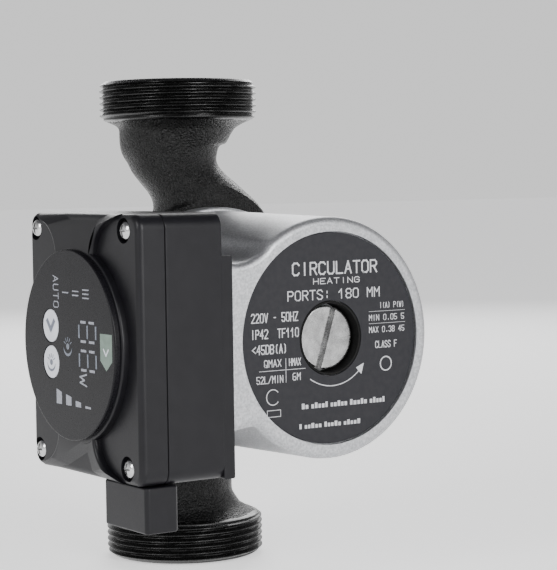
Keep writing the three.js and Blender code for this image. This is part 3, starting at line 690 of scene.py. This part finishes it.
def make_vent_screw():
    head = lathe("vent_plug", [
        (0, VENT_FACE, 0), (VENT_RADIUS, VENT_FACE, 0.9), (VENT_RADIUS, VENT_LEDGE - 1.4, 0.3),
        (8.8, VENT_LEDGE - 1.4, 0), (8.8, VENT_END, 0.4), (0, VENT_END, 0)])
    slot = prism("slot", rounded_rectangle(-1.25, 1.25, -15, 15, 0.2), 1, VENT_FACE - 1, VENT_FACE + 2.8)
    tilt = Matrix.Rotation(math.radians(18), 4, "Y")
    slot.data.transform(Matrix.Translation(HEAD) @ tilt @ Matrix.Translation(-HEAD))
    plug = bevelled(combine(head, slot), 0.18, 2, 60)
    piece(plug, SCREW_FACE, body="vent_screw", replaces=("vent_screw",))


def make_socket_screw(name):
    at = (middle(name) - HEAD) / MM
    low, high = span(name, 1)
    screw = lathe(name + "_fine", [(0, high, 0), (2.8, high, 0.4), (2.8, low + 5, 0), (4.2, low + 5, 0.2),
                                   (4.2, low, 0.6), (0, low, 0)], centre=(at.x, 0, at.z), sides=48)
    socket = lathe("socket", [(0, low - 1, 0), (2.6, low - 1, 0), (2.6, low + 2.8, 0), (0, low + 2.8, 0)],
                   centre=(at.x, 0, at.z), sides=6)
    combine(screw, socket)
    piece(screw, STEEL, replaces=(name,))


# ---- Electronics box ----
def box_outline(inset=0.0, radius=5.0):
    return rounded_rectangle(BOX_FRONT + inset, BOX_REAR - inset, BOX_LOW + inset, BOX_HIGH - inset, radius)


def make_box_skirt():
    """The lip of the box that wraps the front and the underside of the motor's web."""
    top, reach = 29.6, 3.9
    front = prism("box_skirt", rounded_rectangle(BOX_INNER - 0.3, BOX_INNER + reach, BOX_LOW + 0.1, top, 0.6),
                  1, BOX_FRONT + 0.1, BARREL_FRONT - 0.1)
    under = prism("under", rounded_rectangle(BOX_INNER - 0.3, BOX_INNER + reach, BOX_LOW + 0.1, -32.4, 0.6),
                  1, BOX_FRONT + 0.1, FLANGE_FRONT - 2)
    skirt = bevelled(combine(front, under, operation="UNION"), 0.4, 3)
    piece(skirt, PLASTIC)


def cover_screw_places():
    return [(middle(name) - HEAD) / MM for name in COVER_SCREWS]


def make_box_base():
    base = bevelled(prism("box_shell", box_outline(), 0, BOX_PARTING, BOX_INNER), 0.5, 3)
    hollow = prism("hollow", box_outline(2.4, 3), 0, BOX_PARTING - 5, BOX_INNER - 2.4)
    cable_way = prism("cable_way", rounded_rectangle(-66, -46, -10, 10, 3), 0, BOX_INNER - 5, -30)
    window = prism("window", rounded_rectangle(-65.3, -62.5, -93, -76, 0.5), 2, BOX_LOW - 5, BOX_LOW + 5)
    combine(base, hollow, cable_way, window)
    piece(base, PLASTIC, replaces=("box_base",))
    for i, at in enumerate(cover_screw_places()):
        post = lathe(f"box_post_{i + 1}", [(1.95, BOX_PARTING + 0.3, 0), (4, BOX_PARTING + 0.3, 0.3),
                                           (4, BOX_INNER - 2.45, 0), (1.95, BOX_INNER - 2.45, 0)],
                     X, (0, at.y, at.z), 40)
        piece(post, PLASTIC)


def band_outline(side):
    """One raised band between the display and an edge of the cover, in y and z."""
    edge = BOX_HIGH + 2
    half = [(-12.5, 28), (-12.7, 31), (-13.6, 34), (-15.6, 37), (-19, 39.8), (-24.5, 42), (-31, edge)]
    points = [(y, z) for y, z in half] + [(-y, z) for y, z in reversed(half)]
    placed = [(LENS_Y + y, side * z) for y, z in points]
    return placed[::-side]


def make_box_cover():
    lip = BOX_PARTING - 0.35
    cover = stacked("box_lid", rounded_layers(box_outline(), COVER_PANEL, lip, 2.2), 0)
    seat = lathe("seat", [(0, COVER_PANEL + 1, 0), (LENS_RADIUS + 1.2, COVER_PANEL + 1, 0),
                          (LENS_RADIUS + 1.2, BAND_FACE, 0.8), (0, BAND_FACE, 0)], X, (0, LENS_Y, 0), 160)
    raised = [seat]
    for side in (1, -1):
        outline = smoothed(band_outline(side), 200, 4)
        band = stacked("band", rounded_layers(outline, BAND_FACE, COVER_PANEL + 3, 1.3), 0)
        envelope = stacked("envelope", rounded_layers(box_outline(0.05), BAND_FACE, COVER_PANEL + 4, 4), 0)
        raised.append(combine(band, envelope, operation="INTERSECT"))
    combine(cover, *raised, operation="UNION")
    hollow = prism("hollow", box_outline(2.4, 3), 0, COVER_PANEL + 2.4, lip + 5)
    window = prism("window", rounded_rectangle(-84, -56, -14, 12, 1), 0, -90, -60)
    cuts = [hollow, window]
    for centre in KEY_CENTRES.values():
        cuts.append(lathe("key_bore", [(0, -90, 0), (KEY_RADIUS - 0.9, -90, 0), (KEY_RADIUS - 0.9, -60, 0), (0, -60, 0)],
                          X, (0, centre.y, centre.z), 64))
    for at in cover_screw_places():
        cuts.append(lathe("screw_seat", [(0, COVER_PANEL - 4, 0), (4.3, COVER_PANEL - 4, 0),
                                         (4.1, COVER_PANEL + 2.3, 0), (0, COVER_PANEL + 2.3, 0)],
                          X, (0, at.y, at.z), 64))
        cuts.append(lathe("screw_bore", [(0, COVER_PANEL - 4, 0), (2, COVER_PANEL - 4, 0), (2, lip + 3, 0),
                                         (0, lip + 3, 0)], X, (0, at.y, at.z), 40))
    combine(cover, *cuts)
    piece(cover, PLASTIC, replaces=("box_cover",))


def make_lens():
    lens = lathe("display_disc", [(0, LENS_BACK, 0), (LENS_RADIUS, LENS_BACK, 0), (LENS_RADIUS, LENS_FACE, 0.5),
                                  (0, LENS_FACE, 0)], X, (0, LENS_Y, 0), 180)
    holes = []
    for centre in KEY_CENTRES.values():
        holes.append(lathe("key_hole", [(0, -90, 0), (KEY_RADIUS + 0.22, -90, 0), (KEY_RADIUS + 0.22, -70, 0),
                                        (0, -70, 0)], X, (0, centre.y, centre.z), 80))
    combine(lens, *holes)
    piece(lens, LENS, replaces=("display_lens",))


def make_key(name):
    centre = KEY_CENTRES[name]
    face, back = span(name, 0)
    stem = KEY_RADIUS - 1.6
    cap = lathe(name + "_cap", [(0, back, 0), (stem, back, 0.2), (stem, LENS_BACK - 2, 0),
                                (KEY_RADIUS, LENS_BACK - 2, 0), (KEY_RADIUS, face, 0.35), (0, face, 0)],
                X, (0, centre.y, centre.z), 80)
    piece(cap, KEY, body=name, replaces=(name,))


def make_cover_screw(name):
    at = (middle(name) - HEAD) / MM
    tip = span(name, 0)[1]
    base = COVER_PANEL + 2.1
    head = [(0, tip, 0), (1.7, tip, 0.3), (1.7, base, 0), (3.3, base, 0.1), (3.3, base - 0.6, 0)]
    for k in range(1, 9):
        turn = math.pi / 2 * k / 8
        head.append((3.3 * math.cos(turn), base - 0.6 - 2.1 * math.sin(turn), 0))
    screw = lathe(name + "_fine", head, X, (0, at.y, at.z), 56)
    for a, b in ((1.9, 0.42), (0.42, 1.9)):
        arm = rounded_rectangle(at.y - a, at.y + a, at.z - b, at.z + b, 0.15, 3)
        combine(screw, prism("arm", arm, 0, base - 4, base - 1.4))
    piece(screw, STEEL, replaces=(name,), smooth=40)


def make_inlet():
    (x0, x1), (y0, y1) = span("inlet_shell", 0), span("inlet_shell", 1)
    low, high = span("inlet_shell", 2)
    shell = bevelled(prism("inlet_housing", rounded_rectangle(x0, x1, y0, y1, 1.6), 2, low, high), 0.7, 3)
    mouth = prism("mouth", rounded_rectangle(x0 + 1.8, x1 - 1.8, y0 + 2, y1 - 2, 1), 2, low - 1, low + 11)
    combine(shell, mouth)
    for name in ("pin_live", "pin_earth", "pin_neutral"):
        (a, b), (c, d) = span(name, 0), span(name, 1)
        combine(shell, prism("pin_hole", rounded_rectangle(a - 0.2, b + 0.2, c - 0.2, d + 0.2, 0.1), 2, low, high + 2))
    piece(shell, PLASTIC, replaces=("inlet_shell",))


# ---- Printed marks ----
def label_point(u, v, lift):
    """A point on the nameplate: u to the right, v up."""
    return HEAD + Vector((u, LABEL_FACE - lift, v)) * MM


def lens_point(u, v, lift):
    """A point on the display, whose writing runs down and whose top faces the front: u along, v up."""
    return HEAD + Vector((LENS_FACE - lift, -v, -u)) * MM


def key_point(u, v, lift):
    """A point on the keys' face."""
    return lens_point(u, v, lift + LENS_FACE - span("key_mode", 0)[0])


PRINT_THICKNESS = 0.05


def printed(name, shapes, where, look, body="pump"):
    """Thin raised patches from convex outlines in the face's own u and v."""
    bm = bmesh.new()
    for index, outline in enumerate(shapes):
        lift = PRINT_THICKNESS + 0.004 * (index % 7)
        low = [bm.verts.new(where(u, v, -0.02)) for u, v in outline]
        high = [bm.verts.new(where(u, v, lift)) for u, v in outline]
        bm.faces.new(low)
        bm.faces.new(reversed(high))
        count = len(outline)
        for k in range(count):
            n = (k + 1) % count
            bm.faces.new((low[k], high[k], high[n], low[n]))
    piece(mesh_object(name, bm), look, body=body)


def bar(u0, u1, v0, v1):
    return [(u0, v0), (u1, v0), (u1, v1), (u0, v1)]


def stroke(points, width):
    """Line pieces of a polyline, each a little longer than its span so that the corners close."""
    shapes = []
    for start, end in zip(points, points[1:]):
        a, b = Vector(start), Vector(end)
        way = (b - a).normalized() * width / 2
        side = Vector((-way.y, way.x))
        a, b = a - way, b + way
        shapes.append([tuple(a - side), tuple(b - side), tuple(b + side), tuple(a + side)])
    return shapes


# Strokes on a grid 4 wide and 6 high, each stroke a run of column-row pairs.
GLYPHS = {
    "A": "00 26 40|12 32", "B": "00 06 36 45 44 33 03|33 42 41 30 00", "C": "41 30 10 01 05 16 36 45",
    "D": "00 06 26 45 41 20 00", "E": "40 00 06 46|03 33", "F": "00 06 46|03 33",
    "G": "45 36 16 05 01 10 30 41 43 23", "H": "00 06|40 46|03 43", "I": "20 26", "L": "06 00 40",
    "M": "00 06 23 46 40", "N": "00 06 40 46", "O": "10 01 05 16 36 45 41 30 10", "P": "00 06 36 45 44 33 03",
    "Q": "10 01 05 16 36 45 41 30 10|22 40", "R": "00 06 36 45 44 33 03|23 40", "S": "01 10 30 41 42 04 05 16 36 45",
    "T": "06 46|26 20", "U": "06 01 10 30 41 46", "V": "06 20 46", "W": "06 10 24 30 46", "X": "00 46|06 40",
    "Y": "06 23 46|23 20", "Z": "06 46 00 40",
    "0": "10 01 05 16 36 45 41 30 10", "1": "04 26 20", "2": "05 16 36 45 44 00 40", "3": "05 16 36 45 33 42 41 30 10 01",
    "4": "30 36 02 42", "5": "46 06 03 33 42 41 30 10 01", "6": "36 16 05 01 10 30 41 42 33 03", "8":
    "13 04 05 16 36 45 44 33 13 02 01 10 30 41 42 33", "/": "00 46", "-": "13 33", ".": "20 21", "<": "45 03 41",
    "(": "36 25 21 30", ")": "16 25 21 10", ":": "21 22|24 25",
}


def word(text, u, v, height, width, gap, line):
    """Plain stroke lettering from its lower left corner."""
    shapes = []
    for letter in text:
        for path in GLYPHS.get(letter, "").split("|"):
            places = [(u + int(pair[0]) / 4 * width, v + int(pair[1]) / 6 * height) for pair in path.split()]
            shapes += stroke(places, line)
        u += (0 if letter == "I" and width == 0 else width) + gap
    return shapes


def fitted_word(text, u0, u1, v, height, line=0.28):
    """Lettering between two ends, centred on a height."""
    step = (u1 - u0 + 0.3 * height * 0.28) / len(text)
    return word(text, u0, v - height / 2, height, step * 0.7, step * 0.3, line)


def text_line(u0, u1, v, height, seed):
    """A line of plain dashes in word-like groups, in place of any wording."""
    shapes = []
    u = u0
    count = 0
    while u < u1 - 0.8:
        length = 0.9 + 0.5 * abs(noise.noise(Vector((seed, count, 0.5))))
        tall = height * (0.72 + 0.28 * (count % 3 == 0))
        shapes += [bar(u, min(u + length, u1), v - height / 2, v - height / 2 + tall)]
        u += length + (1.3 if (count + seed) % 5 == 4 else 0.42)
        count += 1
    return shapes


def make_label_print():
    shapes = fitted_word("CIRCULATOR", -15.5, 20.5, 24, 4, 0.55)
    shapes += fitted_word("HEATING", -7, 13, 19.6, 1.8, 0.28)
    shapes += fitted_word("PORTS: 180 MM", -17.6, 21.5, 15, 3.1, 0.38)
    shapes += fitted_word("220V - 50HZ", -32.4, -13.4, 8.2, 2.9, 0.36)
    shapes += fitted_word("IP42  TF110", -32.6, -13.2, 2.8, 2.9, 0.36)
    shapes += fitted_word("<45DB(A)", -32.2, -18, -2.4, 2.9, 0.36)
    shapes += fitted_word("QMAX", -27.5, -20.4, -7.2, 2.3) + fitted_word("HMAX", -17.4, -12.6, -7.2, 2.3)
    shapes += fitted_word("52L/MIN", -30.6, -19.8, -12.6, 2.3) + fitted_word("6M", -16, -12.6, -12.2, 2.3)
    shapes += [bar(-29.6, -10.8, -9.75, -9.57), bar(-18.9, -18.72, -14, -5.8)]
    shapes += fitted_word("I(A) P(W)", 21, 31.8, 10.2, 1.9, 0.22)
    shapes += fitted_word("MIN 0.05 5", 16.4, 31.8, 6, 1.9, 0.24)
    shapes += fitted_word("MAX 0.38 45", 16.4, 31.8, 1.8, 1.9, 0.24)
    shapes += [bar(16.2, 32, 8.1, 8.22), bar(16.2, 32, 3.9, 4.02)]
    shapes += fitted_word("CLASS F", 19, 28.4, -3.4, 2.2)
    shapes += stroke(arc_points(23.4, -10.2, 2.4, 0, 360, 24), 0.4)
    shapes += stroke(arc_points(-24.2, -18.6, 2.6, 40, 320, 20), 0.3)
    shapes += stroke([(-26.6, -25.2), (-21.2, -25.2), (-21.2, -23), (-26.6, -23), (-26.6, -25.2)], 0.22)
    shapes += text_line(-12.5, 22.6, -22.6, 1.9, 18)
    shapes += text_line(-13.6, 14, -29.4, 1.7, 19)
    shapes += stroke(arc_points(0.4, 0, 16.4, 236, 314), 0.32)
    tip, back = 325, 313
    shapes.append([arc_points(0.4, 0, 16.4, tip, tip, 1)[0], arc_points(0.4, 0, 18, back, back, 1)[0],
                   arc_points(0.4, 0, 14.8, back, back, 1)[0]])
    printed("label_marks", shapes, label_point, PRINT)


def segment_digit(u0):
    """A seven-segment figure: its bars across, then its bars up."""
    v0, v1, wide = 68.6, 80.0, 6.4
    across = [bar(u0 + 1.0, u0 + wide - 1.0, v - 0.42, v + 0.42) for v in (v0, (v0 + v1) / 2, v1)]
    upright = []
    for u in (u0, u0 + wide):
        for low in (v0 + 1.1, (v0 + v1) / 2 + 1.1):
            upright.append(bar(u - 0.42, u + 0.42, low, low + 3.6))
    return across, upright


def night_icon(u, v, size):
    """A crescent under a small rayed dot."""
    outer = arc_points(u, v, size, -86, 86, 14)
    inner = arc_points(u - 0.35 * size, v, size * 1.06, -70, 70, 14)
    crescent = [[outer[k], outer[k + 1], inner[k + 1], inner[k]] for k in range(14)]
    dot = [arc_points(u - 0.1 * size, v, size * 0.36, 0, 360, 10)[:-1]]
    rays = []
    for turn in (120, 150, 180, 210, 240):
        way = Vector((math.cos(math.radians(turn)), math.sin(math.radians(turn))))
        centre = Vector((u - 0.1 * size, v))
        rays += stroke([tuple(centre + way * size * 0.6), tuple(centre + way * size * 1.0)], size * 0.1)
    return crescent + dot + rays


def make_display_print():
    marks = word("AUTO", -23.0, 50.9, 3.5, 1.9, 1.0, 0.36)
    for count, v in ((1, 57.5), (2, 64.6), (3, 71.6)):
        marks += word("I" * count, -17.6 - 0.68 * (count - 1), v, 3.9, 0, 1.35, 0.42)
    marks += word("W", 9.0, 68.8, 4.4, 3.8, 0, 0.55)
    bottom = 20.2
    for k, tall in enumerate((5.0, 3.6, 2.0, 0.8)):
        v = 51.9 + 6.75 * k
        marks.append([(bottom, v), (bottom, v + 3.7), (bottom - tall * 0.82, v + 3.7), (bottom - tall, v)])
    printed("display_marks", marks, lens_point, MARK)
    dim = night_icon(0.7, 60.5, 3.0)
    bright = []
    for u0 in (-8.3, 1.2):
        across, upright = segment_digit(u0)
        dim += across
        bright += upright
    printed("display_dim_marks", dim, lens_point, DIM_MARK)
    printed("display_segments", bright, lens_point, MARK)
    tag = [[(-5.2, 82.9), (3.6, 82.9), (6.8, 86.8), (3.6, 90.7), (-5.2, 90.7)]]
    printed("display_tag", tag, lens_point, TAG)
    chevron = stroke([(-0.2, 85.2), (1.8, 86.8), (-0.2, 88.4)], 0.5)
    printed("display_tag_mark", chevron, lambda u, v, lift: lens_point(u, v, lift + 0.1), KEY)
    mode, night = KEY_CENTRES["key_mode"], KEY_CENTRES["key_night"]
    chevron = stroke([(-mode.z - 1.5, -mode.y - 2.3), (-mode.z + 1.3, -mode.y), (-mode.z - 1.5, -mode.y + 2.3)], 1.5)
    printed("key_mode_mark", chevron, key_point, ICON, body="key_mode")
    printed("key_night_mark", night_icon(-night.z + 0.4, -night.y, 2.9), key_point, ICON, body="key_night")


# ---- Carried-over CAD nodes ----
CARRIED = {
    BLACK_RUBBER_AND_SHADE: ("casing_seal", "vent_seal", "box_gasket"),
    BRASS: ("neck_ring", "pin_live", "pin_earth", "pin_neutral"),
    STAINLESS: ("bearing_plate", "rotor_can"),
    CERAMIC: ("front_bearing", "rear_bearing", "rotor_shaft", "thrust_ring"),
    MAGNET: ("rotor_core",),
    BLUE_PLASTIC: ("impeller", "impeller_shroud"),
    LAMINATION: ("stator_core",),
    COPPER: ("winding_rear", "winding_front", "choke"),
    BOARD: ("main_board", "display_board"),
    COMPONENT: ("digit_tens", "digit_units", "switch_mode", "switch_night", "filter_capacitor", "power_module"),
    KEY: ("motor_plug",),
    PAD: ("heat_pad",),
}


def dress_carried_nodes():
    for look, names in CARRIED.items():
        for name in names:
            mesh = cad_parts[name].data
            mesh.materials.clear()
            mesh.materials.append(look)


make_camera()
make_stage()
make_pump_body()
make_housing()
make_nameplate()
make_vent_screw()
for screw_name in HOUSING_SCREWS:
    make_socket_screw(screw_name)
make_box_base()
make_box_skirt()
make_box_cover()
make_lens()
for key_name in KEY_CENTRES:
    make_key(key_name)
for screw_name in COVER_SCREWS:
    make_cover_screw(screw_name)
make_inlet()
make_label_print()
make_display_print()
dress_carried_nodes()
